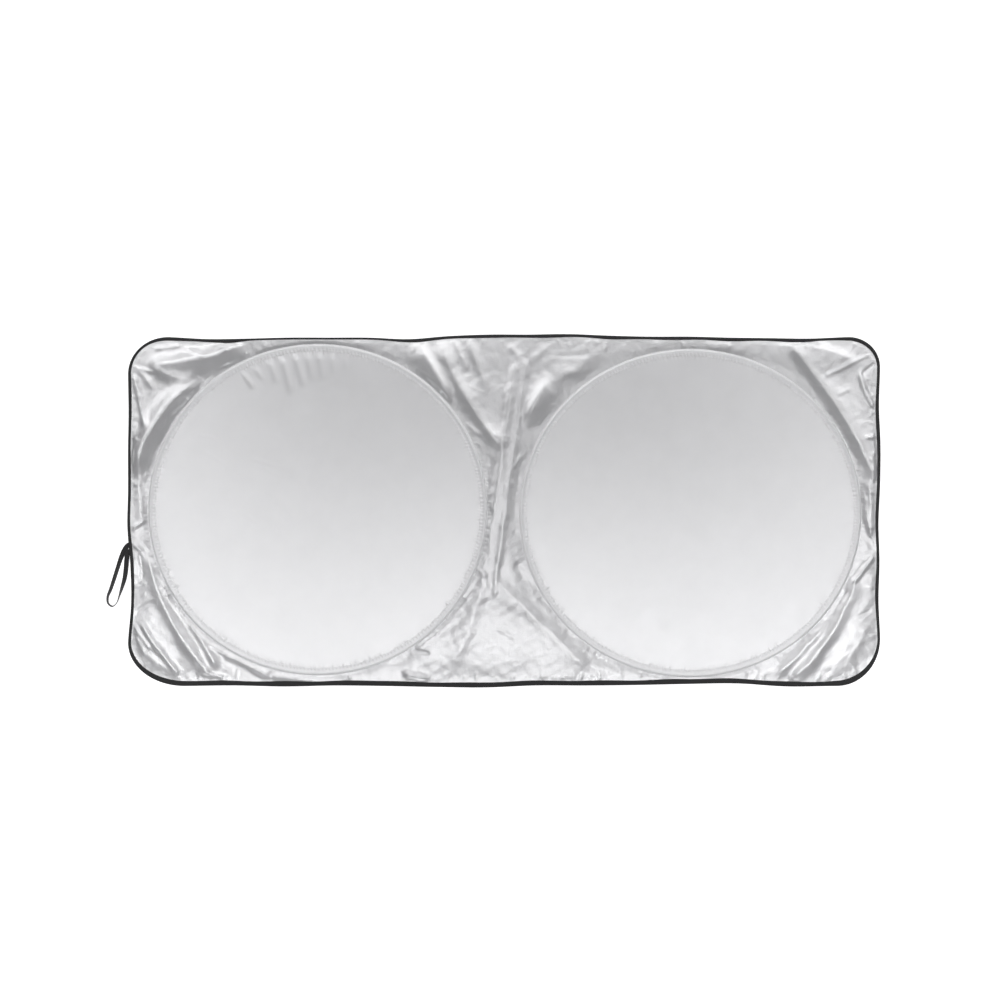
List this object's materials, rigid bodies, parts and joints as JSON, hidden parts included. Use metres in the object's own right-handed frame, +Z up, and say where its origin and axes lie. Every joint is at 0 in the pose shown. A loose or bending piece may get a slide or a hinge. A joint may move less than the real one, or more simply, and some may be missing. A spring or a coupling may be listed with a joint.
{
  "type": "car sunshade",
  "caption": "Folding windscreen sunshade: silver cloth on sprung wire hoops in sewn sleeves, with a bound edge and an elastic strap, laid open and flat.",
  "frame": {"origin": "middle of the underside of the bounding box of the shade as it lies flat, strap included", "axes": "+X along the shade, away from the strap; +Y across it; +Z up, out of the silver face that turns to the glass"},
  "size_m": [1.5428, 0.7052, 0.0126],
  "materials": {
    "silver_cloth": "silver-coated woven polyester, satin",
    "sleeve_cloth": "the same silver-coated cloth, cut as a strip",
    "spring_steel": "drawn spring wire, plain",
    "zinc_plate": "zinc-plated tube, crimped",
    "black_tape": "black woven polyester binding tape, slight sheen",
    "black_elastic": "black woven elastic band, matte"
  },
  "bodies": {
    "root": {"silver_sheet": "silver_cloth", "hoop_wire_left": "spring_steel", "hoop_wire_right": "spring_steel", "wire_ferrule_left": "zinc_plate", "wire_ferrule_right": "zinc_plate", "hoop_sleeve_left": "sleeve_cloth", "hoop_sleeve_right": "sleeve_cloth", "edge_binding": "black_tape", "elastic_strap": "black_elastic"}
  },
  "joints": []
}
